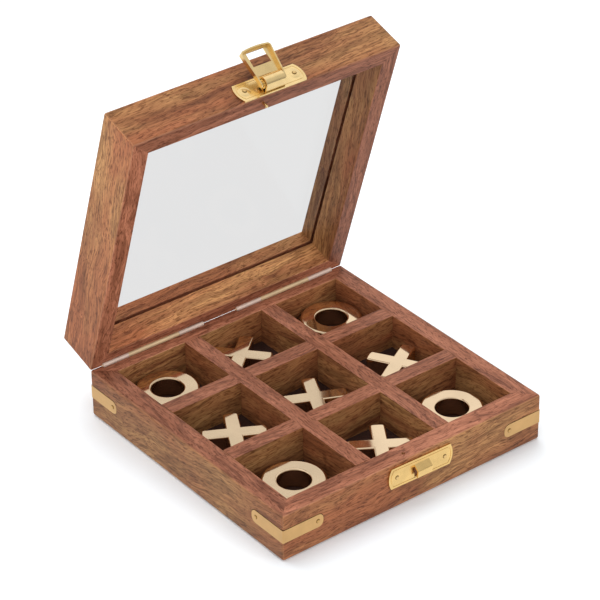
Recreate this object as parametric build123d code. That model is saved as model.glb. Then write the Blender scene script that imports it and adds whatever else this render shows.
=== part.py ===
from build123d import *
import math
import os

# A boxed noughts and crosses game: a hinged wooden case whose base is divided into nine
# cells, with a glazed lid, brass trim and nine loose playing pieces. Millimetres, +Z up,
# the front with the catch towards -Y. The origin is the middle of the base's underside.
# The lid is modelled closed and then turned about its hinge to the angle where it stands.

# Case
case_width = 150.0
case_depth = 146.0
base_height = 24.3
lid_height = 23.0
rim_gap = 0.2
outer_arris = 1.2
inner_arris = 0.5
base_side_wall = 10.0
base_front_wall = 9.9
base_back_wall = 8.0
lid_side_wall = 9.6
lid_front_wall = 8.7
lid_back_wall = 7.2
lid_open_angle = 72.3

# Bottom panel, let into a rabbet flush with the rails, and the lining that lies on it
panel_thickness = 5.5
rabbet_width = 3.0
rabbet_clearance = 0.1
lining_thickness = 1.0
lining_clearance = 0.2

# Dividers, each moved a little from its even place
divider_thickness = 8.4
lap_clearance = 0.05
divider_left_shift = 1.0
divider_right_shift = 0.25
divider_back_shift = 1.8
divider_front_shift = 0.8

# Playing pieces
token_thickness = 10.0
token_wall_gap = 0.4
nought_radius = 15.0
nought_hole_radius = 7.65
nought_outer_round = 1.2
nought_hole_round = 0.9
cross_radius = 15.3
cross_bar_width = 7.1
cross_tip_round = 1.2
cross_edge_round = 0.8

# Glass, held in a groove of the four lid rails
glass_thickness = 2.0
glass_above_rim = 13.7
glass_groove_depth = 3.0
glass_clearance = 0.1
glass_edge_gap = 0.3

# Hinges: two, with the leaves on the outside of the back rails
hinge_length = 58.0
hinge_offset = 39.0
leaf_bracket_gap = 0.5
hinge_sheet = 0.5
barrel_radius = 1.35
hinge_pin_radius = 0.7
running_clearance = 0.05
barrel_clearance = 0.3
knuckle_gap = 0.15
middle_knuckle_share = 0.5
hinge_brad_spacing = 22.0

# Brads
brad_head_radius = 1.1
brad_head_height = 0.45
brad_shank_radius = 0.5
brad_length = 6.0
brad_hole_clearance = 0.03

# Corner brackets, let in flush with the rails. Each was fitted by hand, so its height and its
# arms along the side and along the front or back differ a little.
bracket_sheet = 0.8
bracket_width = 6.8
bracket_fold_radius = 0.5
bracket_end_round = 2.9
bracket_brad_inset = 3.0
bracket_recess_clearance = 0.1
bracket_recess_top_gap = 0.3
bracket_sizes = {
    "front_left": {"height": 13.1, "side_arm": 22.5, "long_arm": 22.5},
    "front_right": {"height": 12.5, "side_arm": 22.0, "long_arm": 21.8},
    "back_left": {"height": 13.2, "side_arm": 20.3, "long_arm": 22.0},
    "back_right": {"height": 13.0, "side_arm": 21.5, "long_arm": 22.0},
}

# Catch and latch plates, stamped from one blank
fitting_sheet = 0.8
fitting_length = 34.2
fitting_height = 10.8
fitting_bow = 1.5
fitting_brad_inset = 3.2
border_inset = 1.0
border_width = 0.35
border_depth = 0.15
catch_centre_x = 2.6
catch_below_rim = 7.7
catch_tilt = -1.5
latch_centre_x = 2.8
latch_edge_above_rim = 0.3
nose_centre_x = 3.0
nose_width = 8.4
nose_top_rise = 2.8
nose_bulge = 2.85
nose_crest_drop = 2.5
nose_crest_round = 1.0
nose_end_bulge = 2.3
nose_foot_gap = 0.5
latch_play = 0.3
dimple_radius = 2.9
dimple_height = 0.5

# Knuckle curled from the latch plate, and the bail that hangs in it
knuckle_width = 10.6
knuckle_outer_radius = 3.3
knuckle_half_turns = 3
knuckle_step = 0.6
knuckle_slit = 0.2
knuckle_above_edge = 4.0
bail_sheet = 0.7
bail_pivot_width = 14.0
bail_end_width = 16.6
bail_side_shift = -0.3
bail_length = 17.4
bail_bow = 0.8
bail_corner_round = 1.6
bail_window_width = 9.8
bail_end_bar = 1.6
bail_window_start = 8.6
bail_ear_wall = 0.65
bail_knuckle_gap = 0.4
bail_rest_angle = 20.0
bail_face_gap = 0.3

# Locating pin in the front rail of the lid, with its hole in the base
pin_x = -4.0
pin_inset = 3.8
pin_radius = 0.75
pin_proud = 3.2
pin_seat_depth = 5.0
pin_hole_clearance = 0.15
pin_tip_gap = 0.6

# Places that follow from the sizes above. "beyond" is how far a cutter passes a face, and
# "near" how close an edge must lie to where it is looked for.
front = -case_depth / 2
back = case_depth / 2
right = case_width / 2
rim_plane = base_height + rim_gap
hinge_y = back
hinge_z = base_height + rim_gap / 2
lining_top = panel_thickness + lining_thickness
base_inner = (
    -right + base_side_wall,
    right - base_side_wall,
    front + base_front_wall,
    back - base_back_wall,
)
lid_inner = (
    -right + lid_side_wall,
    right - lid_side_wall,
    front + lid_front_wall,
    back - lid_back_wall,
)
hinge_axis = Axis((0, hinge_y, hinge_z), (1, 0, 0))
back_bracket_height = max(bracket_sizes[name]["height"] for name in ("back_left", "back_right"))
bracket_top = back_bracket_height + bracket_width / 2
hinge_leaf_width = hinge_z - bracket_top - leaf_bracket_gap
beyond = 1.0
near = 0.01


def block(x0, x1, y0, y1, z0, z1):
    """A box between two corners."""
    centre = Pos((x0 + x1) / 2, (y0 + y1) / 2, (z0 + z1) / 2)
    return centre * Box(x1 - x0, y1 - y0, z1 - z0)


def rod_along_x(x0, x1, y, z, radius):
    """A round bar parallel to X."""
    return Pos((x0 + x1) / 2, y, z) * Rot(0, 90, 0) * Cylinder(radius, x1 - x0)


def open_lid(shape):
    """Turns a piece of the closed lid to the angle where the lid stands."""
    return shape.rotate(hinge_axis, -lid_open_angle)


def frame_ring(inner, bottom, height, rim):
    """Four rails as one ring, softened outside except where its rim meets the hinge side."""
    x0, x1, y0, y1 = inner
    top = bottom + height
    outside = block(-right, right, front, back, bottom, top)

    def is_softened(edge):
        middle = edge.center()
        return abs(middle.Y - back) > near or abs(middle.Z - rim) > near

    outside = fillet(outside.edges().filter_by(is_softened), outer_arris)
    return outside - block(x0, x1, y0, y1, bottom - beyond, top + beyond)


def groove(inner, depth, z0, z1):
    """The space that a panel's groove takes out of a ring."""
    x0, x1, y0, y1 = inner
    return block(x0 - depth, x1 + depth, y0 - depth, y1 + depth, z0, z1)


def mitred(ring, inner, side, bottom, height):
    """One rail of a ring, mitred from the outer to the inner corners, its arrises eased."""
    x0, x1, y0, y1 = inner
    inside = {
        "front": [(x1, y0), (x0, y0)],
        "back": [(x0, y1), (x1, y1)],
        "left": [(x0, y0), (x0, y1)],
        "right": [(x1, y1), (x1, y0)],
    }
    outside = {
        "front": [(-right, front), (right, front)],
        "back": [(right, back), (-right, back)],
        "left": [(-right, back), (-right, front)],
        "right": [(right, front), (right, back)],
    }
    wedge_face = make_face(Polyline(*outside[side], *inside[side], close=True))
    wedge = extrude(Pos(0, 0, bottom - beyond) * wedge_face, height + 2 * beyond)
    rail = ring & wedge

    def on_inner_arris(edge):
        middle = edge.center()
        across = x0 - near < middle.X < x1 + near and y0 - near < middle.Y < y1 + near
        level = min(abs(middle.Z - bottom - height), abs(middle.Z - bottom)) < near
        return across and level

    return fillet(rail.edges().filter_by(on_inner_arris), inner_arris)


def brad():
    """A round-headed brad, its head's underside on Z = 0 and its shank down -Z."""
    sphere = (brad_head_radius**2 + brad_head_height**2) / (2 * brad_head_height)
    half_turn = math.asin(brad_head_radius / sphere) / 2
    crown = (sphere * math.sin(half_turn), brad_head_height - sphere * (1 - math.cos(half_turn)))
    tip = brad_length - brad_shank_radius
    outline = [
        Line((0, brad_head_height), (0, -brad_length)),
        Line((0, -brad_length), (brad_shank_radius, -tip)),
        Line((brad_shank_radius, -tip), (brad_shank_radius, 0)),
        Line((brad_shank_radius, 0), (brad_head_radius, 0)),
        ThreePointArc((brad_head_radius, 0), crown, (0, brad_head_height)),
    ]
    section = Plane.XZ * make_face(Curve() + outline)
    return revolve(section, Axis.Z, 360)


def brads_at(places, normal):
    """Brads driven against a normal, their heads seated at the given places."""
    return [Plane(origin=place, z_dir=normal).location * brad() for place in places]


def brad_holes(places, normal, sheet):
    """Pilot holes for brads through a sheet and into the wood under it."""
    radius = brad_shank_radius + brad_hole_clearance
    depth = brad_length + brad_hole_clearance
    hole = Pos(0, 0, -depth / 2) * Cylinder(radius, depth)
    mouth = Pos(0, 0, -sheet / 2) * Cylinder(radius, 2 * sheet)
    cutters = [Plane(origin=place, z_dir=normal).location * (hole + mouth) for place in places]
    return Part() + cutters


# Where each fitting's brads go
hinge_centres = {"left": -hinge_offset, "right": hinge_offset}
brad_steps = [-hinge_brad_spacing, 0, hinge_brad_spacing]
leaf_start = barrel_radius + barrel_clearance
leaf_brad_line = (leaf_start + hinge_leaf_width) / 2
leaf_face = back + hinge_sheet
base_leaf_brads = [
    (centre + step, leaf_face, hinge_z - leaf_brad_line)
    for centre in hinge_centres.values()
    for step in brad_steps
]
lid_leaf_brads = [
    (centre + step, leaf_face, hinge_z + leaf_brad_line)
    for centre in hinge_centres.values()
    for step in brad_steps
]
fitting_face = front - fitting_sheet
catch_centre_height = base_height - catch_below_rim
fitting_brad_x = fitting_length / 2 - fitting_brad_inset
tilt = math.radians(catch_tilt)
catch_brads = [
    (
        catch_centre_x + sign * fitting_brad_x * math.cos(tilt),
        fitting_face,
        catch_centre_height + sign * fitting_brad_x * math.sin(tilt),
    )
    for sign in (-1, 1)
]
latch_centre_z = rim_plane + latch_edge_above_rim + fitting_height / 2
latch_brads = [
    (latch_centre_x + sign * fitting_brad_x, fitting_face - dimple_height, latch_centre_z)
    for sign in (-1, 1)
]
bracket_corners = {
    "front_left": (-1, -1),
    "front_right": (1, -1),
    "back_left": (-1, 1),
    "back_right": (1, 1),
}


def bracket_brads(name):
    """A bracket's two brads, each as its rail, its place and the direction of the rail's face."""
    sx, sy = bracket_corners[name]
    sizes = bracket_sizes[name]
    along_x = right - sizes["long_arm"] + bracket_brad_inset
    along_y = back - sizes["side_arm"] + bracket_brad_inset
    long_rail, side_rail = name.split("_")
    return [
        (long_rail, (sx * along_x, sy * back, sizes["height"]), (0, sy, 0)),
        (side_rail, (sx * right, sy * along_y, sizes["height"]), (sx, 0, 0)),
    ]


def barrel_notch():
    """Clears the hinge barrels out of the back arrises of both rims."""
    half = hinge_length / 2 + barrel_clearance
    radius = barrel_radius + barrel_clearance
    bars = [
        rod_along_x(centre - half, centre + half, hinge_y, hinge_z, radius)
        for centre in hinge_centres.values()
    ]
    return Part() + bars


def base_rails():
    """Four rails with a rabbet for the bottom panel and recesses for the corner brackets."""
    ring = frame_ring(base_inner, 0, base_height, base_height)
    ring -= groove(base_inner, rabbet_width, -beyond, panel_thickness + rabbet_clearance)
    for name in bracket_corners:
        ring -= bracket_recess(name)
    rails = {
        side: mitred(ring, base_inner, side, 0, base_height)
        for side in ("front", "back", "left", "right")
    }
    hole_radius = pin_radius + pin_hole_clearance
    hole_top = base_height + beyond
    pin_hole = Pos(pin_x, front + pin_inset, (base_height - pin_hole_depth + hole_top) / 2) * Cylinder(
        hole_radius, hole_top - base_height + pin_hole_depth
    )
    rails["front"] -= pin_hole
    rails["front"] -= brad_holes(catch_brads, (0, -1, 0), fitting_sheet)
    rails["back"] -= brad_holes(base_leaf_brads, (0, 1, 0), hinge_sheet)
    rails["back"] -= barrel_notch()
    for name in bracket_corners:
        for side, place, normal in bracket_brads(name):
            rails[side] -= brad_holes([place], normal, bracket_sheet)
    return {f"base_{side}_rail": rail for side, rail in rails.items()}


def bottom():
    """The bottom panel and the lining on it."""
    x0, x1, y0, y1 = base_inner
    reach = rabbet_width - rabbet_clearance
    panel = block(x0 - reach, x1 + reach, y0 - reach, y1 + reach, 0, panel_thickness)
    gap = lining_clearance
    lining = block(x0 + gap, x1 - gap, y0 + gap, y1 - gap, panel_thickness, lining_top)
    return {"bottom_panel": panel, "floor_lining": lining}


# Divider centres and the nine cells between them
inner_width = base_inner[1] - base_inner[0]
inner_depth = base_inner[3] - base_inner[2]
middle_x = (base_inner[0] + base_inner[1]) / 2
middle_y = (base_inner[2] + base_inner[3]) / 2
even_x = (inner_width + divider_thickness) / 6
even_y = (inner_depth + divider_thickness) / 6
divider_x = (middle_x - even_x + divider_left_shift, middle_x + even_x + divider_right_shift)
divider_y = (middle_y - even_y + divider_front_shift, middle_y + even_y + divider_back_shift)
half_divider = divider_thickness / 2
columns = {
    "left": (base_inner[0], divider_x[0] - half_divider),
    "centre": (divider_x[0] + half_divider, divider_x[1] - half_divider),
    "right": (divider_x[1] + half_divider, base_inner[1]),
}
rows = {
    "front": (base_inner[2], divider_y[0] - half_divider),
    "middle": (divider_y[0] + half_divider, divider_y[1] - half_divider),
    "back": (divider_y[1] + half_divider, base_inner[3]),
}


def dividers():
    """Two dividers each way, flush with the rim and half lapped where they cross."""
    x0, x1, y0, y1 = base_inner
    lap = (lining_top + base_height) / 2
    half_notch = half_divider + lap_clearance
    notches_below = [
        block(x0, x1, y - half_notch, y + half_notch, lining_top - beyond, lap + lap_clearance)
        for y in divider_y
    ]
    notches_above = [
        block(x - half_notch, x + half_notch, y0, y1, lap - lap_clearance, base_height + beyond)
        for x in divider_x
    ]
    made = {}
    for name, x in zip(("divider_left", "divider_right"), divider_x):
        strip = block(x - half_divider, x + half_divider, y0, y1, lining_top, base_height)
        made[name] = strip - notches_below
    for name, y in zip(("divider_front", "divider_back"), divider_y):
        strip = block(x0, x1, y - half_divider, y + half_divider, lining_top, base_height)
        made[name] = strip - notches_above
    return made


def bracket_band(name, inset, proud, grow, above):
    """An angle round one corner of the base, from inset behind the faces to proud of them."""
    sx, sy = bracket_corners[name]
    sizes = bracket_sizes[name]
    inside = RectangleRounded(2 * (right - inset), 2 * (back - inset), bracket_fold_radius)
    outside = RectangleRounded(2 * (right + proud), 2 * (back + proud), bracket_fold_radius)
    z0 = sizes["height"] - bracket_width / 2 - grow
    height = bracket_width + 2 * grow + above
    band = extrude(Pos(0, 0, z0) * (outside - inside), height)
    reach_x = right - sizes["long_arm"] - grow
    reach_y = back - sizes["side_arm"] - grow
    keep_x = sorted((sx * reach_x, sx * case_width))
    keep_y = sorted((sy * reach_y, sy * case_width))
    band &= block(*keep_x, *keep_y, z0 - beyond, z0 + height + beyond)

    def at_an_end(edge):
        middle = edge.center()
        at_x = abs(abs(middle.X) - reach_x) < near
        at_y = abs(abs(middle.Y) - reach_y) < near
        return (at_x or at_y) and abs(edge.length - inset - proud) < near

    return fillet(band.edges().filter_by(at_an_end), bracket_end_round + grow)


def bracket_recess(name):
    """The room that a bracket's recess takes out of the rails, open a little above it."""
    clearance = bracket_recess_clearance
    return bracket_band(name, bracket_sheet + clearance, beyond, clearance, bracket_recess_top_gap)


def brackets():
    """The four corner brackets of the base and their brads."""
    made = {}
    nails = []
    for name in bracket_corners:
        bracket = bracket_band(name, bracket_sheet, 0, 0, 0)
        for _, place, normal in bracket_brads(name):
            bracket -= brad_holes([place], normal, bracket_sheet)
            nails += brads_at([place], normal)
        made[f"corner_bracket_{name}"] = bracket
    made["bracket_nails"] = nails
    return made


def fitting_outline(inset):
    """The outline with bowed ends that both fittings share, or one inset from it."""
    half = fitting_length / 2 - inset
    up = fitting_height / 2 - inset
    outline = [
        Line((-half, -up), (half, -up)),
        ThreePointArc((half, -up), (half + fitting_bow, 0), (half, up)),
        Line((half, up), (-half, up)),
        ThreePointArc((-half, up), (-half - fitting_bow, 0), (-half, -up)),
    ]
    return make_face(Curve() + outline)


def fitting_blank():
    """The stamped plate that both fittings start from, upright, with a line pressed round it."""
    plate = extrude(Plane.XZ * fitting_outline(0), fitting_sheet)
    border = fitting_outline(border_inset) - fitting_outline(border_inset + border_width)
    line = extrude(Plane.XZ * border, fitting_sheet)
    return plate - Pos(0, border_depth - fitting_sheet, 0) * line


# The knuckle's axis, the bail and the nose that its window snaps over
knuckle_z = rim_plane + latch_edge_above_rim + knuckle_above_edge
knuckle_y = front - knuckle_outer_radius
bore_radius = knuckle_outer_radius - (knuckle_half_turns - 1) * knuckle_step - fitting_sheet
bar_radius = bore_radius - running_clearance
flange_reach = knuckle_outer_radius - fitting_sheet - bail_face_gap
window_end = bail_length - bail_end_bar
nose_bottom = knuckle_z - window_end + latch_play
nose_top = catch_centre_height + nose_top_rise
bail_web_start = knuckle_outer_radius + bail_knuckle_gap
bail_ear_radius = bar_radius + bail_ear_wall
pin_hole_depth = pin_proud + pin_tip_gap


def catch_plate():
    """The plate on the base: a nose is cut free on three sides and pressed outwards."""
    plate = Pos(0, front, 0) * fitting_blank()
    plate = Pos(catch_centre_x, 0, catch_centre_height) * Rot(0, -catch_tilt, 0) * plate
    x0 = nose_centre_x - nose_width / 2
    x1 = nose_centre_x + nose_width / 2
    slope = nose_crest_drop / nose_bulge
    root = fitting_sheet * math.hypot(1, slope)
    crest_y = fitting_face - nose_bulge
    end_y = fitting_face - nose_end_bulge
    inner_crest_z = nose_top - root - slope * (nose_bulge - fitting_sheet)
    corners = [
        (front, nose_top),
        (fitting_face, nose_top),
        (crest_y, nose_top - nose_crest_drop),
        (end_y, nose_bottom),
        (end_y + fitting_sheet, nose_bottom),
        (crest_y + fitting_sheet, inner_crest_z),
        (fitting_face, nose_top - root),
        (front, nose_top - root),
    ]
    profile = make_face(Polyline(*corners, close=True))
    profile = fillet(profile.vertices().sort_by(Axis.X)[:1], nose_crest_round)
    nose = extrude(Plane.YZ * profile, nose_width)
    foot = nose_bottom - nose_foot_gap
    opening = block(x0, x1, fitting_face - beyond, front + beyond, foot, nose_top - root)
    plate = plate - opening + Pos(x0, 0, 0) * nose
    return plate - brad_holes(catch_brads, (0, -1, 0), fitting_sheet)


def hinge_leaf(centre, up):
    """One leaf: a plate with its knuckles. The base leaf has the two end knuckles."""
    half = hinge_length / 2
    half_middle = half * middle_knuckle_share
    own = [(-half_middle, half_middle)] if up else [
        (-half, -half_middle - knuckle_gap),
        (half_middle + knuckle_gap, half),
    ]
    sign = 1 if up else -1
    z_near = hinge_z + sign * leaf_start
    z_far = hinge_z + sign * hinge_leaf_width
    y0 = back
    y1 = leaf_face
    leaf = block(centre - half, centre + half, y0, y1, *sorted((z_near, z_far)))
    for x0, x1 in own:
        leaf += block(centre + x0, centre + x1, y0, y1, *sorted((hinge_z, z_near)))
        leaf += rod_along_x(centre + x0, centre + x1, hinge_y, hinge_z, barrel_radius)
    bore = hinge_pin_radius + running_clearance
    leaf -= rod_along_x(centre - half - beyond, centre + half + beyond, hinge_y, hinge_z, bore)
    places = lid_leaf_brads if up else base_leaf_brads
    return leaf - brad_holes(places, (0, 1, 0), hinge_sheet)


def hinges():
    """Two hinges: base leaves and pins on the base, lid leaves on the lid."""
    made = {}
    for name, centre in hinge_centres.items():
        half = hinge_length / 2
        made[f"hinge_base_leaf_{name}"] = hinge_leaf(centre, False)
        made[f"hinge_lid_leaf_{name}"] = open_lid(hinge_leaf(centre, True))
        made[f"hinge_pin_{name}"] = rod_along_x(
            centre - half, centre + half, hinge_y, hinge_z, hinge_pin_radius
        )
    made["hinge_base_nails"] = brads_at(base_leaf_brads, (0, 1, 0))
    made["hinge_lid_nails"] = [open_lid(nail) for nail in brads_at(lid_leaf_brads, (0, 1, 0))]
    return made


def lid_frame():
    """Four mitred rails with a groove for the glass, the glass, and the locating pin."""
    groove_bottom = rim_plane + glass_above_rim - glass_clearance
    groove_top = rim_plane + glass_above_rim + glass_thickness + glass_clearance
    ring = frame_ring(lid_inner, rim_plane, lid_height, rim_plane)
    ring -= groove(lid_inner, glass_groove_depth, groove_bottom, groove_top)
    rails = {
        side: mitred(ring, lid_inner, side, rim_plane, lid_height)
        for side in ("front", "back", "left", "right")
    }
    pin_y = front + pin_inset
    pin_bottom = rim_plane - pin_proud
    pin_top = rim_plane + pin_seat_depth
    seat = Pos(pin_x, pin_y, rim_plane + (pin_seat_depth - beyond) / 2) * Cylinder(
        pin_radius + brad_hole_clearance, pin_seat_depth + beyond
    )
    rails["front"] -= seat
    rails["front"] -= brad_holes(latch_brads, (0, -1, 0), fitting_sheet)
    rails["back"] -= brad_holes(lid_leaf_brads, (0, 1, 0), hinge_sheet)
    rails["back"] -= barrel_notch()
    pin = Pos(pin_x, pin_y, (pin_bottom + pin_top) / 2) * Cylinder(pin_radius, pin_top - pin_bottom)
    pin = fillet(pin.edges().sort_by(Axis.Z)[:1], pin_radius / 2)
    x0, x1, y0, y1 = lid_inner
    reach = glass_groove_depth - glass_edge_gap
    glass_bottom = rim_plane + glass_above_rim
    glass_top = glass_bottom + glass_thickness
    glass = block(x0 - reach, x1 + reach, y0 - reach, y1 + reach, glass_bottom, glass_top)
    made = {
        "lid_front_rail": rails["front"],
        "lid_back_rail": rails["back"],
        "lid_left_stile": rails["left"],
        "lid_right_stile": rails["right"],
        "glass_pane": glass,
        "lid_locating_pin": pin,
    }
    return {name: open_lid(piece) for name, piece in made.items()}


def half_curl(centre_z, radius, outer):
    """Half a turn of sheet about an axis parallel to X, on its outer or its inner side."""
    ring = Circle(radius) - Circle(radius - fitting_sheet)
    keep = Pos(-radius if outer else radius, 0) * Rectangle(2 * radius, 4 * radius)
    half = Plane.YZ * (ring & keep)
    return Pos(latch_centre_x - knuckle_width / 2, knuckle_y, centre_z) * extrude(half, knuckle_width)


def latch_plate():
    """The plate on the lid: a tongue cut out of it stands up and curls to carry the bail."""
    plate = Pos(latch_centre_x, front, latch_centre_z) * fitting_blank()
    x0 = latch_centre_x - knuckle_width / 2
    x1 = latch_centre_x + knuckle_width / 2
    wall = knuckle_z - knuckle_outer_radius
    plate -= block(x0, x1, fitting_face - beyond, front + beyond, wall - knuckle_slit, wall)
    plate += block(x0, x1, knuckle_y, front, wall, wall + fitting_sheet)
    for turn in range(knuckle_half_turns):
        outer = turn % 2 == 0
        centre_z = knuckle_z if outer else knuckle_z + knuckle_step
        plate += half_curl(centre_z, knuckle_outer_radius - turn * knuckle_step, outer)
    for x, y, z in latch_brads:
        cap = (dimple_radius**2 + dimple_height**2) / (2 * dimple_height)
        ball = Pos(x, y + cap, z) * Sphere(cap)
        x0, x1 = x - dimple_radius, x + dimple_radius
        z0, z1 = z - dimple_radius, z + dimple_radius
        plate += ball & block(x0, x1, y - beyond, fitting_face, z0, z1)
    return plate - brad_holes(latch_brads, (0, -1, 0), fitting_sheet)


def latch_bail():
    """A stamped tray with a window: hung by its cross bar, it hooks under the nose."""
    half_pivot = bail_pivot_width / 2
    half_end = bail_end_width / 2
    shoulder = bail_length - bail_bow
    slope = (half_end - half_pivot) / shoulder
    start = -bail_ear_radius - beyond
    half_start = half_pivot + slope * start

    def tray_outline(inset):
        end = half_end - inset
        begin = half_start - inset
        far = shoulder - inset
        outline = make_face(
            Curve()
            + [
                Line((begin, start), (end, far)),
                ThreePointArc((end, far), (0, bail_length - inset), (-end, far)),
                Line((-end, far), (-begin, start)),
                Line((-begin, start), (begin, start)),
            ]
        )
        return fillet(outline.vertices().sort_by(Axis.Y)[-2:], bail_corner_round - inset)

    half_sheet = bail_sheet / 2
    tray = extrude(Pos(0, 0, -half_sheet) * tray_outline(0), half_sheet + flange_reach)
    tray -= extrude(Pos(0, 0, half_sheet) * tray_outline(bail_sheet), flange_reach)
    ear = Circle(bail_ear_radius)
    arm_start = bail_web_start
    arm = Pos((arm_start + bail_length + beyond) / 2, (flange_reach - half_sheet) / 2) * Rectangle(
        bail_length + beyond - arm_start, flange_reach + half_sheet
    )
    neck_corners = [
        (0, -half_sheet),
        (arm_start, -half_sheet),
        (arm_start, flange_reach),
        (0, bail_ear_radius),
    ]
    neck = make_face(Polyline(*neck_corners, close=True))
    side = Plane.YZ * (ear + arm + neck)
    tray &= Pos(-bail_end_width, 0, 0) * extrude(side, 2 * bail_end_width)
    between = half_pivot - bail_sheet
    tray -= block(-between, between, start - beyond, bail_web_start, -case_width, case_width)
    half_window = bail_window_width / 2
    tray -= block(-half_window, half_window, bail_window_start, window_end, -beyond, beyond)
    tray += rod_along_x(-half_pivot + bail_sheet, half_pivot - bail_sheet, 0, 0, bar_radius)
    return tray


def latch():
    """The latch plate with its brads, and the bail at rest on the open lid."""
    bail = Rot(90 + bail_rest_angle, 0, 0) * latch_bail()
    bail = Pos(latch_centre_x + bail_side_shift, knuckle_y, knuckle_z) * bail
    return {
        "latch_plate": open_lid(latch_plate()),
        "latch_nails": [open_lid(nail) for nail in brads_at(latch_brads, (0, -1, 0))],
        "latch_bail": open_lid(bail),
    }


def nought():
    """A turned ring with polished round edges."""
    ring = Cylinder(nought_radius, token_thickness) - Cylinder(nought_hole_radius, token_thickness)
    rims = ring.edges().filter_by(GeomType.CIRCLE)
    outer = [edge for edge in rims if abs(edge.radius - nought_radius) < near]
    ring = fillet(outer, nought_outer_round)
    rims = ring.edges().filter_by(GeomType.CIRCLE)
    hole = [edge for edge in rims if abs(edge.radius - nought_hole_radius) < near]
    return fillet(hole, nought_hole_round)


def cross():
    """Two crossed bars whose tips follow a circle, with softened edges."""
    bar = Rectangle(2 * cross_radius, cross_bar_width)
    outline = (bar + Rot(0, 0, 90) * bar) & Circle(cross_radius)
    half = cross_bar_width / 2
    tips = [corner for corner in outline.vertices() if max(abs(corner.X), abs(corner.Y)) > 2 * half]
    outline = fillet(tips, cross_tip_round)
    solid = extrude(Pos(0, 0, -token_thickness / 2) * outline, token_thickness)
    flat = [edge for edge in solid.edges() if abs(abs(edge.center().Z) - token_thickness / 2) < near]
    return fillet(flat, cross_edge_round)


# Each piece: its cell, its turn, and how far it has slid towards the cell's walls,
# as a share of its free play to the right and to the back
token_places = {
    "nought_back_left": ("left", "back", 0, -0.66, 0.70),
    "cross_back": ("centre", "back", 41, -0.98, 0.92),
    "nought_back_right": ("right", "back", 0, 0.86, 0.55),
    "cross_left": ("left", "middle", 61, 0.01, -0.40),
    "cross_centre": ("centre", "middle", 64.5, 0.14, -0.46),
    "cross_right": ("right", "middle", 30, 0.84, -0.84),
    "nought_front_left": ("left", "front", 0, -0.42, -0.40),
    "cross_front": ("centre", "front", 57, -0.07, -0.90),
    "nought_front_right": ("right", "front", 0, -0.60, -0.66),
}


def tokens():
    """Nine loose pieces lying on the lining, one in each cell."""
    made = {}
    for name, (column, row, turn, share_x, share_y) in token_places.items():
        piece = nought() if name.startswith("nought") else cross()
        piece = Rot(0, 0, turn) * piece
        reach = piece.bounding_box().size
        x0, x1 = columns[column]
        y0, y1 = rows[row]
        play_x = (x1 - x0 - reach.X) / 2 - token_wall_gap
        play_y = (y1 - y0 - reach.Y) / 2 - token_wall_gap
        x = (x0 + x1) / 2 + share_x * play_x
        y = (y0 + y1) / 2 + share_y * play_y
        made[name] = Pos(x, y, lining_top + token_thickness / 2) * piece
    return made


pieces = {
    **base_rails(),
    **bottom(),
    **dividers(),
    **brackets(),
    "catch_plate": catch_plate(),
    "catch_nails": brads_at(catch_brads, (0, -1, 0)),
    **hinges(),
    **lid_frame(),
    **latch(),
    **tokens(),
}

os.makedirs("parts", exist_ok=True)
for name, piece in pieces.items():
    solids = piece if isinstance(piece, list) else [piece]
    found = [solid for each in solids for solid in each.solids()]
    whole = found[0] if len(found) == 1 else Compound(found)
    export_step(whole, f"parts/{name}.step")
    print(name, len(found))
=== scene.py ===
import bpy
import math
from mathutils import Euler, Matrix, Vector

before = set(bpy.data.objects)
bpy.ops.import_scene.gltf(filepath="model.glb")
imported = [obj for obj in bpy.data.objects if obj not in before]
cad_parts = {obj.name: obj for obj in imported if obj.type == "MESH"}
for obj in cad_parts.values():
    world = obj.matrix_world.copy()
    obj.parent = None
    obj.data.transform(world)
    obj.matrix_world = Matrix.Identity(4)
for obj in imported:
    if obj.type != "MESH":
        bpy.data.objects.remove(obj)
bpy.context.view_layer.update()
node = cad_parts

# Camera: a long lens to the front left of the case and above it, turned down by 32 degrees.
# The place and turn were fitted to the corners and edges of the case in the photograph.
camera_data = bpy.data.cameras.new("camera")
camera_data.sensor_width = 36
camera_data.lens = 172.64
camera_data.clip_start = 0.05
camera_data.clip_end = 20
camera = bpy.data.objects.new("camera", camera_data)
bpy.context.scene.collection.objects.link(camera)
downward = math.radians(32.278)
sideways = math.radians(37.815)
roll = math.radians(-0.602)
look = Euler((math.radians(90) - downward, 0, -sideways)).to_matrix()
look = look @ Matrix.Rotation(roll, 3, "Z")
lens_place = (-0.6814, -0.8682, 0.7667)
camera.matrix_world = Matrix.Translation(lens_place) @ look.to_4x4()
bpy.context.scene.camera = camera

# Table: a large white sheet that the case stands on, with the case's soft grey shadow on it. It
# is plain white in reflections, through the glass and at a distance.
table_side = 8
just_under_case = -0.0003
bpy.ops.mesh.primitive_plane_add(size=table_side, location=(0, 0, just_under_case))
table = bpy.context.object
table.name = "table"
table_white = bpy.data.materials.new("table_white")
table_white.use_nodes = True
tree = table_white.node_tree
paper = tree.nodes["Principled BSDF"]
paper.inputs["Roughness"].default_value = 0.9
paper.inputs["Specular IOR Level"].default_value = 0.1
path = tree.nodes.new("ShaderNodeLightPath")
# pale grey to the light that it throws back on the case, and brighter to the camera (sockets
# 6 and 7 of a mix node are its two colours)
tone = tree.nodes.new("ShaderNodeMix")
tone.data_type = "RGBA"
tone.inputs[6].default_value = (0.75, 0.75, 0.75, 1)
tone.inputs[7].default_value = (1.06, 1.11, 1.15, 1)
tree.links.new(path.outputs["Is Camera Ray"], tone.inputs[0])
tree.links.new(tone.outputs[2], paper.inputs["Base Color"])
beyond_glass = tree.nodes.new("ShaderNodeMath")
beyond_glass.operation = "MAXIMUM"
tree.links.new(path.outputs["Is Transmission Ray"], beyond_glass.inputs[0])
tree.links.new(path.outputs["Is Glossy Ray"], beyond_glass.inputs[1])
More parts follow.
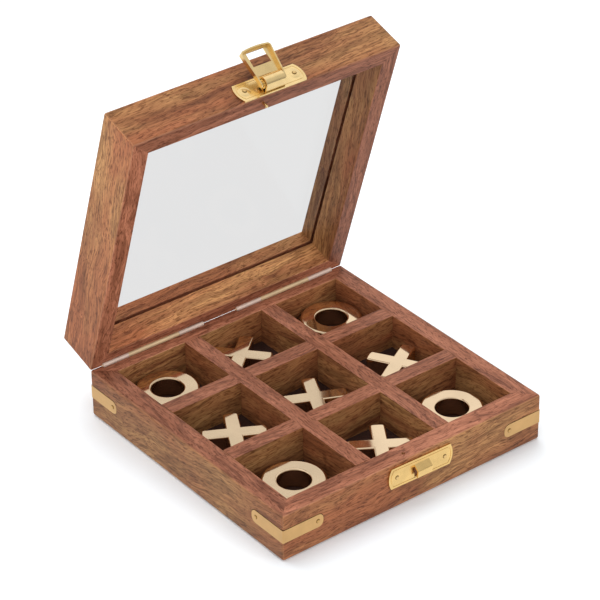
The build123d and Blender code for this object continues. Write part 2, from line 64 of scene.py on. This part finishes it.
# away from the case the sheet fades to plain white
spot = tree.nodes.new("ShaderNodeTexCoord")
distance = tree.nodes.new("ShaderNodeVectorMath")
distance.operation = "LENGTH"
tree.links.new(spot.outputs["Object"], distance.inputs[0])
away = tree.nodes.new("ShaderNodeMapRange")
away.inputs["From Min"].default_value = 0.3
away.inputs["From Max"].default_value = 0.6
tree.links.new(distance.outputs["Value"], away.inputs["Value"])
whitened = tree.nodes.new("ShaderNodeMath")
whitened.operation = "MAXIMUM"
tree.links.new(beyond_glass.outputs[0], whitened.inputs[0])
tree.links.new(away.outputs[0], whitened.inputs[1])
plain = tree.nodes.new("ShaderNodeEmission")
either = tree.nodes.new("ShaderNodeMixShader")
tree.links.new(whitened.outputs[0], either.inputs[0])
tree.links.new(paper.outputs[0], either.inputs[1])
tree.links.new(plain.outputs[0], either.inputs[2])
tree.links.new(either.outputs[0], tree.nodes["Material Output"].inputs["Surface"])
table.data.materials.append(table_white)

# Studio light: an even pale world, plain white to the camera and through the glass. One large
# soft lamp stands above and behind the case, and weaker ones to its left and in front of it.
# The lamps show neither in the brass nor through the glass.
world = bpy.data.worlds.new("studio")
bpy.context.scene.world = world
world.use_nodes = True
tree = world.node_tree
tree.nodes.clear()
sky = tree.nodes.new("ShaderNodeBackground")
sky.inputs["Color"].default_value = (1, 1, 1, 1)
path = tree.nodes.new("ShaderNodeLightPath")
seen = tree.nodes.new("ShaderNodeMath")
seen.operation = "MAXIMUM"
tree.links.new(path.outputs["Is Camera Ray"], seen.inputs[0])
tree.links.new(path.outputs["Is Transmission Ray"], seen.inputs[1])
strength = tree.nodes.new("ShaderNodeMapRange")
strength.inputs["To Min"].default_value = 0.55
strength.inputs["To Max"].default_value = 1.0
tree.links.new(seen.outputs[0], strength.inputs["Value"])
# metal reflects a studio that is white overhead and dims towards the walls and the front
ray = tree.nodes.new("ShaderNodeTexCoord")
direction = tree.nodes.new("ShaderNodeSeparateXYZ")
tree.links.new(ray.outputs["Generated"], direction.inputs[0])
walls = tree.nodes.new("ShaderNodeMapRange")
walls.inputs["From Min"].default_value = 0.02
walls.inputs["From Max"].default_value = 0.45
walls.inputs["To Min"].default_value = 0.42
walls.inputs["To Max"].default_value = 1.0
tree.links.new(direction.outputs["Z"], walls.inputs["Value"])
front = tree.nodes.new("ShaderNodeMapRange")
front.inputs["From Min"].default_value = -0.4
front.inputs["From Max"].default_value = 0.1
front.inputs["To Min"].default_value = 0.66
front.inputs["To Max"].default_value = 1.0
tree.links.new(direction.outputs["Y"], front.inputs["Value"])
dimmed = tree.nodes.new("ShaderNodeMath")
dimmed.operation = "MULTIPLY"
tree.links.new(walls.outputs[0], dimmed.inputs[0])
tree.links.new(front.outputs[0], dimmed.inputs[1])
reflected = tree.nodes.new("ShaderNodeMix")
tree.links.new(path.outputs["Is Glossy Ray"], reflected.inputs[0])
tree.links.new(strength.outputs[0], reflected.inputs[2])
tree.links.new(dimmed.outputs[0], reflected.inputs[3])
tree.links.new(reflected.outputs[0], sky.inputs["Strength"])
world_out = tree.nodes.new("ShaderNodeOutputWorld")
tree.links.new(sky.outputs[0], world_out.inputs["Surface"])


def soft_lamp(name, place, size, power):
    case_middle = Vector((0, 0, 0.03))
    data = bpy.data.lights.new(name, "AREA")
    data.shape = "SQUARE"
    data.size = size
    data.energy = power
    lamp = bpy.data.objects.new(name, data)
    bpy.context.scene.collection.objects.link(lamp)
    lamp.location = place
    lamp.rotation_euler = (case_middle - Vector(place)).to_track_quat("-Z", "Y").to_euler()
    lamp.visible_glossy = False
    lamp.visible_transmission = False


soft_lamp("key_lamp", (0.1, 0.7, 1.3), size=1.6, power=16.5)
soft_lamp("left_lamp", (-1.4, -0.5, 0.8), size=1.2, power=6)
soft_lamp("front_lamp", (0.4, -1.4, 0.8), size=1.2, power=6)

bpy.context.scene.view_settings.view_transform = "Standard"

# Base: four rails of brown open-pored hardwood, mitred and glued round a bottom panel, under a
# satin lacquer. Golden patches, thin dark lines and short pores run along each rail. The sanded
# rims are pinker than the sides, and the arrises are paler, partly worn and partly a painted
# highlight.
grain_along_x = 0
grain_along_y = math.pi / 2
up = (0, 0, 1)


def case_wood(name, grain_turn, seed, painted_light_scale=1.0, rim_side=up, lid_turn=0):
    material = bpy.data.materials.new(name)
    material.use_nodes = True
    tree = material.node_tree
    lacquer = tree.nodes["Principled BSDF"]
    place = tree.nodes.new("ShaderNodeTexCoord")
    # the grain is laid out on the closed lid's axes, and leans a little off the rail's line
    closed = tree.nodes.new("ShaderNodeMapping")
    closed.vector_type = "TEXTURE"
    closed.inputs["Rotation"].default_value = (-lid_turn, 0, 0)
    tree.links.new(place.outputs["Object"], closed.inputs["Vector"])
    along = tree.nodes.new("ShaderNodeMapping")
    along.inputs["Rotation"].default_value = (0.12, 0.06, grain_turn + 0.05)
    along.inputs["Location"].default_value = (seed, 0.37 * seed, 0.61 * seed)
    tree.links.new(closed.outputs[0], along.inputs["Vector"])
    sway = tree.nodes.new("ShaderNodeTexNoise")
    sway.inputs["Scale"].default_value = 38
    sway.inputs["Detail"].default_value = 2
    tree.links.new(along.outputs[0], sway.inputs["Vector"])
    swayed = tree.nodes.new("ShaderNodeVectorMath")
    swayed.operation = "MULTIPLY_ADD"
    swayed.inputs[1].default_value = (0, 0.006, 0.006)
    tree.links.new(sway.outputs["Color"], swayed.inputs[0])
    tree.links.new(along.outputs[0], swayed.inputs[2])

    def stretched(along_grain, across_grain, detail, rough, distortion=0.0):
        fit = tree.nodes.new("ShaderNodeMapping")
        fit.inputs["Scale"].default_value = (along_grain, across_grain, across_grain)
        tree.links.new(swayed.outputs[0], fit.inputs["Vector"])
        noise = tree.nodes.new("ShaderNodeTexNoise")
        noise.inputs["Scale"].default_value = 1.0
        noise.inputs["Detail"].default_value = detail
        noise.inputs["Roughness"].default_value = rough
        noise.inputs["Distortion"].default_value = distortion
        tree.links.new(fit.outputs[0], noise.inputs["Vector"])
        return noise.outputs["Fac"]

    def ramp(value, stops):
        node_ramp = tree.nodes.new("ShaderNodeValToRGB")
        elements = node_ramp.color_ramp.elements
        while len(elements) < len(stops):
            elements.new(0.5)
        for element, (position, colour) in zip(elements, stops):
            element.position = position
            element.color = (*colour, 1)
        tree.links.new(value, node_ramp.inputs["Fac"])
        return node_ramp.outputs["Color"]

    def mixed(amount, first, second, blend="MIX"):
        mix = tree.nodes.new("ShaderNodeMix")
        mix.data_type = "RGBA"
        mix.blend_type = blend
        for socket, value in ((0, amount), (6, first), (7, second)):
            if isinstance(value, (int, float)):
                mix.inputs[socket].default_value = value
            elif isinstance(value, tuple):
                mix.inputs[socket].default_value = (*value, 1)
            else:
                tree.links.new(value, mix.inputs[socket])
        return mix.outputs[2]

    # colours are scaled per rail: a painted lightening or darkening for how the lamps light the
    # rail
    def toned(*colour):
        return tuple(painted_light_scale * part for part in colour)

    patches = stretched(12, 45, detail=3, rough=0.55, distortion=0.5)
    figure = stretched(11, 190, detail=5, rough=0.66, distortion=0.6)
    lines = stretched(9, 115, detail=2, rough=0.5, distortion=0.9)
    fibres = stretched(70, 1000, detail=3, rough=0.65)
    pores = stretched(240, 1900, detail=2, rough=0.55)
    white = (1, 1, 1)
    black = (0, 0, 0)

    # sides: brown and golden patches, streaked with umber more in some places than in others
    brown = toned(0.375, 0.135, 0.056)
    golden = toned(0.465, 0.245, 0.098)
    umber = toned(0.25, 0.092, 0.04)
    side_tone = ramp(patches, [(0.38, brown), (0.62, golden)])
    calm = ramp(stretched(9, 30, detail=2, rough=0.5), [(0.40, (0.2, 0.2, 0.2)), (0.60, white)])
    streaks = mixed(1.0, calm, ramp(figure, [(0.36, white), (0.60, black)]), "MULTIPLY")
    side_tone = mixed(streaks, side_tone, umber)

    # rims: pinker, and laid over the faces that look to the rim's side
    dark_rim = toned(0.27, 0.098, 0.052)
    pale_rim = toned(0.46, 0.19, 0.112)
    rim_tone = ramp(figure, [(0.30, dark_rim), (0.68, pale_rim)])
    rimward = tree.nodes.new("ShaderNodeVectorMath")
    rimward.operation = "DOT_PRODUCT"
    rimward.inputs[1].default_value = rim_side
    tree.links.new(place.outputs["Normal"], rimward.inputs[0])
    on_rim = ramp(rimward.outputs["Value"], [(0.55, black), (0.8, white)])
    tone = mixed(on_rim, side_tone, rim_tone)

    # thin dark lines, fibres and pores over both
    line_shade = [(0.44, white), (0.50, (0.36, 0.29, 0.26)), (0.55, white)]
    fibre_shade = [(0.32, (0.66, 0.60, 0.55)), (0.66, (1.16, 1.14, 1.12))]
    pore_shade = [(0.38, (0.40, 0.30, 0.25)), (0.47, white)]
    tone = mixed(0.6, tone, ramp(lines, line_shade), "MULTIPLY")
    tone = mixed(0.9, tone, ramp(fibres, fibre_shade), "MULTIPLY")
    tone = mixed(0.85, tone, ramp(pores, pore_shade), "MULTIPLY")

    # arrises, where the normal is on none of the rail's own axes, are paler: partly wear and
    # partly a painted highlight along the rounded edges
    squared = tree.nodes.new("ShaderNodeMapping")
    squared.vector_type = "TEXTURE"
    squared.inputs["Rotation"].default_value = (-lid_turn, 0, 0)
    tree.links.new(place.outputs["Normal"], squared.inputs["Vector"])
    either_way = tree.nodes.new("ShaderNodeVectorMath")
    either_way.operation = "ABSOLUTE"
    tree.links.new(squared.outputs[0], either_way.inputs[0])
    axes = tree.nodes.new("ShaderNodeSeparateXYZ")
    tree.links.new(either_way.outputs[0], axes.inputs[0])
    most = axes.outputs["X"]
    for axis in ("Y", "Z"):
        larger = tree.nodes.new("ShaderNodeMath")
        larger.operation = "MAXIMUM"
        tree.links.new(most, larger.inputs[0])
        tree.links.new(axes.outputs[axis], larger.inputs[1])
        most = larger.outputs[0]
    worn_and_highlit = tree.nodes.new("ShaderNodeMapRange")
    worn_and_highlit.inputs["From Min"].default_value = 0.80
    worn_and_highlit.inputs["From Max"].default_value = 0.98
    worn_and_highlit.inputs["To Min"].default_value = 0.26
    worn_and_highlit.inputs["To Max"].default_value = 0.0
    tree.links.new(most, worn_and_highlit.inputs["Value"])
    # the paler edge colour is part wear, part painted highlight
    tone = mixed(worn_and_highlit.outputs[0], tone, toned(0.52, 0.27, 0.15))
    tree.links.new(tone, lacquer.inputs["Base Color"])
    lacquer.inputs["Roughness"].default_value = 0.45
    lacquer.inputs["Specular IOR Level"].default_value = 0.22
    bump = tree.nodes.new("ShaderNodeBump")
    bump.inputs["Strength"].default_value = 0.3
    bump.inputs["Distance"].default_value = 0.0002
    tree.links.new(pores, bump.inputs["Height"])
    tree.links.new(bump.outputs[0], lacquer.inputs["Normal"])
    return material


def finish_as(name, material, smooth=True):
    for slot in node[name].material_slots:
        slot.material = material
    for face in node[name].data.polygons:
        face.use_smooth = smooth


# each rail's factor is painted light: it lightens or darkens the whole rail for how the lamps light
# it
finish_as("base_front_rail", case_wood("front_rail_wood", grain_along_x, seed=1.3, painted_light_scale=1.17))
finish_as("base_back_rail", case_wood("back_rail_wood", grain_along_x, seed=2.9, painted_light_scale=1.18))
finish_as("base_left_rail", case_wood("left_rail_wood", grain_along_y, seed=4.1, painted_light_scale=0.97))
finish_as("base_right_rail", case_wood("right_rail_wood", grain_along_y, seed=5.7))
finish_as("bottom_panel", case_wood("panel_wood", grain_along_x, seed=6.3))

# Dividers: four strips of the same wood, two each way. They are half lapped where they cross,
# stand on the lining and end flush with the rim.
finish_as("divider_left", case_wood("divider_left_wood", grain_along_y, seed=7.7))
finish_as("divider_right", case_wood("divider_right_wood", grain_along_y, seed=8.9))
finish_as("divider_front", case_wood("divider_front_wood", grain_along_x, seed=9.4))
finish_as("divider_back", case_wood("divider_back_wood", grain_along_x, seed=10.6))

# Lid: two rails and two stiles of the same wood, mitred, with a groove for the glass. The lid
# stands open, so its rims face forward and its grain is turned with it.
lid_open = math.radians(72.3)
lid_rim = (0, -math.sin(lid_open), -math.cos(lid_open))
# the last column is painted light, lightening or darkening each lid piece for how the lamps light
# it
for name, wood, grain_turn, seed, painted_light_scale in (
    ("lid_front_rail", "lid_front_wood", grain_along_x, 11.2, 1.0),
    ("lid_back_rail", "lid_back_wood", grain_along_x, 12.8, 1.3),
    ("lid_left_stile", "lid_left_wood", grain_along_y, 13.5, 1.38),
    ("lid_right_stile", "lid_right_wood", grain_along_y, 14.1, 1.0),
):
    finish_as(name, case_wood(wood, grain_turn, seed, painted_light_scale, lid_rim, lid_open))

# Lining: a sheet of felt, one millimetre thick, laid on the bottom panel under the dividers and
# coloured very dark brown, as dark as the cell floors look in their shade. It shows as the floor of
# the nine cells.
felt = bpy.data.materials.new("lining_felt")
felt.use_nodes = True
tree = felt.node_tree
nap = tree.nodes["Principled BSDF"]
place = tree.nodes.new("ShaderNodeTexCoord")
fibre = tree.nodes.new("ShaderNodeTexNoise")
fibre.inputs["Scale"].default_value = 1400
fibre.inputs["Detail"].default_value = 4
tree.links.new(place.outputs["Object"], fibre.inputs["Vector"])
shade = tree.nodes.new("ShaderNodeValToRGB")
shade.color_ramp.elements[0].position = 0.3
shade.color_ramp.elements[0].color = (0.022, 0.008, 0.005, 1)
shade.color_ramp.elements[1].position = 0.7
shade.color_ramp.elements[1].color = (0.062, 0.024, 0.017, 1)
tree.links.new(fibre.outputs["Fac"], shade.inputs["Fac"])
tree.links.new(shade.outputs["Color"], nap.inputs["Base Color"])
nap.inputs["Roughness"].default_value = 0.95
nap.inputs["Specular IOR Level"].default_value = 0.1
nap.inputs["Sheen Weight"].default_value = 0.15
finish_as("floor_lining", felt)

# Glass: a clear flat pane, two millimetres thick, held in the groove of the lid's rails. It is
# faintly grey and throws no shadow of its own.
pane = bpy.data.materials.new("lid_pane")
pane.use_nodes = True
clear = pane.node_tree.nodes["Principled BSDF"]
clear.inputs["Base Color"].default_value = (0.78, 0.782, 0.785, 1)
clear.inputs["Roughness"].default_value = 0.0
clear.inputs["IOR"].default_value = 1.08
clear.inputs["Transmission Weight"].default_value = 1.0
finish_as("glass_pane", pane, smooth=False)
node["glass_pane"].visible_shadow = False


# Catch and latch: stamped sheet brass, softly buffed and a little uneven under thin lacquer,
# each nailed on with two brads. The lid's latch, bail and locating pin are the brighter.
def brass(name, tint, roughness, unevenness=0.2, scale=180):
    material = bpy.data.materials.new(name)
    material.use_nodes = True
    tree = material.node_tree
    metal = tree.nodes["Principled BSDF"]
    metal.inputs["Metallic"].default_value = 1.0
    place = tree.nodes.new("ShaderNodeTexCoord")
    cloud = tree.nodes.new("ShaderNodeTexNoise")
    cloud.inputs["Scale"].default_value = scale
    cloud.inputs["Detail"].default_value = 4
    tree.links.new(place.outputs["Object"], cloud.inputs["Vector"])
    tone = tree.nodes.new("ShaderNodeValToRGB")
    tone.color_ramp.elements[0].position = 0.3
    tone.color_ramp.elements[0].color = (*[0.86 * part for part in tint], 1)
    tone.color_ramp.elements[1].position = 0.7
    tone.color_ramp.elements[1].color = (*tint, 1)
    tree.links.new(cloud.outputs["Fac"], tone.inputs["Fac"])
    tree.links.new(tone.outputs["Color"], metal.inputs["Base Color"])
    rough = tree.nodes.new("ShaderNodeMapRange")
    rough.inputs["To Min"].default_value = roughness - 0.04
    rough.inputs["To Max"].default_value = roughness + 0.06
    tree.links.new(cloud.outputs["Fac"], rough.inputs["Value"])
    tree.links.new(rough.outputs[0], metal.inputs["Roughness"])
    bump = tree.nodes.new("ShaderNodeBump")
    bump.inputs["Strength"].default_value = unevenness
    bump.inputs["Distance"].default_value = 0.0004
    tree.links.new(cloud.outputs["Fac"], bump.inputs["Height"])
    tree.links.new(bump.outputs[0], metal.inputs["Normal"])
    return material


finish_as("catch_plate", brass("catch_brass", (0.90, 0.61, 0.24), roughness=0.24))
lid_brass = brass("lid_brass", (0.96, 0.71, 0.34), roughness=0.22)
for name in ("latch_plate", "latch_bail", "lid_locating_pin"):
    finish_as(name, lid_brass)

# Hinges: leaves of thin brass nailed to the backs of the rails, with their knuckles rolled
# round a pin. They are pale and bright, and the base's leaves are the palest.
pale_brass = brass("pale_hinge_brass", (1.0, 0.79, 0.66), roughness=0.3, unevenness=0.05)
gold_brass = brass("gold_hinge_brass", (0.98, 0.74, 0.44), roughness=0.35, unevenness=0.05)
for hinge_finish in (pale_brass, gold_brass):
    hinge_finish.node_tree.nodes["Principled BSDF"].inputs["Metallic"].default_value = 0.4
for side in ("left", "right"):
    finish_as(f"hinge_base_leaf_{side}", pale_brass)
    finish_as(f"hinge_lid_leaf_{side}", gold_brass)
    finish_as(f"hinge_pin_{side}", gold_brass)

# Corner brackets: thin brass angles with round ends, let in flush with the rails round each
# corner of the base and held by two brads. They are duller than the catch.
dull = brass("dull_brass", (0.70, 0.43, 0.18), roughness=0.34, unevenness=0.12, scale=140)
for corner in ("front_left", "front_right", "back_left", "back_right"):
    finish_as(f"corner_bracket_{corner}", dull)


# Brads: short nails of the same brass, with tarnish and painted shade darkening the foot of each
# round head. A brad's own axis tells its foot from its top. The brackets' brads point two ways.
def brad_brass(name, tint, *axes):
    material = brass(name, tint, roughness=0.3, unevenness=0.1, scale=300)
    tree = material.node_tree
    metal = tree.nodes["Principled BSDF"]
    place = tree.nodes.new("ShaderNodeTexCoord")
    facing = []
    for axis in axes:
        lean = tree.nodes.new("ShaderNodeVectorMath")
        lean.operation = "DOT_PRODUCT"
        lean.inputs[1].default_value = axis
        tree.links.new(place.outputs["Normal"], lean.inputs[0])
        either_way = tree.nodes.new("ShaderNodeMath")
        either_way.operation = "ABSOLUTE"
        tree.links.new(lean.outputs["Value"], either_way.inputs[0])
        facing.append(either_way.outputs[0])
    most = facing[0]
    for other in facing[1:]:
        larger = tree.nodes.new("ShaderNodeMath")
        larger.operation = "MAXIMUM"
        tree.links.new(most, larger.inputs[0])
        tree.links.new(other, larger.inputs[1])
        most = larger.outputs[0]
    foot = tree.nodes.new("ShaderNodeMapRange")
    foot.inputs["From Min"].default_value = 0.80
    foot.inputs["From Max"].default_value = 0.94
    tree.links.new(most, foot.inputs["Value"])
    # painted shade, with some tarnish, darkens the foot of each head
    tarnish_and_shade = tree.nodes.new("ShaderNodeMix")
    tarnish_and_shade.data_type = "RGBA"
    tarnish_and_shade.inputs[6].default_value = (0.27, 0.145, 0.04, 1)
    tree.links.new(foot.outputs[0], tarnish_and_shade.inputs[0])
    tree.links.new(tree.nodes["Color Ramp"].outputs["Color"], tarnish_and_shade.inputs[7])
    tree.links.new(tarnish_and_shade.outputs[2], metal.inputs["Base Color"])
    return material


toward_back = (0, 1, 0)
toward_right = (1, 0, 0)
lid_face = (0, math.cos(lid_open), -math.sin(lid_open))
bright = (0.90, 0.62, 0.26)
dusty = (0.70, 0.43, 0.16)
finish_as("catch_nails", brad_brass("catch_brad_brass", bright, toward_back))
finish_as("latch_nails", brad_brass("latch_brad_brass", bright, lid_face))
finish_as("hinge_base_nails", brad_brass("hinge_base_brad_brass", bright, toward_back))
finish_as("hinge_lid_nails", brad_brass("hinge_lid_brad_brass", bright, lid_face))
finish_as("bracket_nails", brad_brass("bracket_brad_brass", dusty, toward_back, toward_right))

# Playing pieces: four noughts and five crosses of solid brass with rounded edges, polished
# to a pale gold mirror. They lie loose in the cells.
polished = brass(
    "polished_pale_brass", (0.90, 0.685, 0.45), roughness=0.07, unevenness=0.02, scale=60
)
for name in (
    "nought_back_left",
    "nought_back_right",
    "nought_front_left",
    "nought_front_right",
    "cross_back",
    "cross_left",
    "cross_centre",
    "cross_right",
    "cross_front",
):
    finish_as(name, polished)
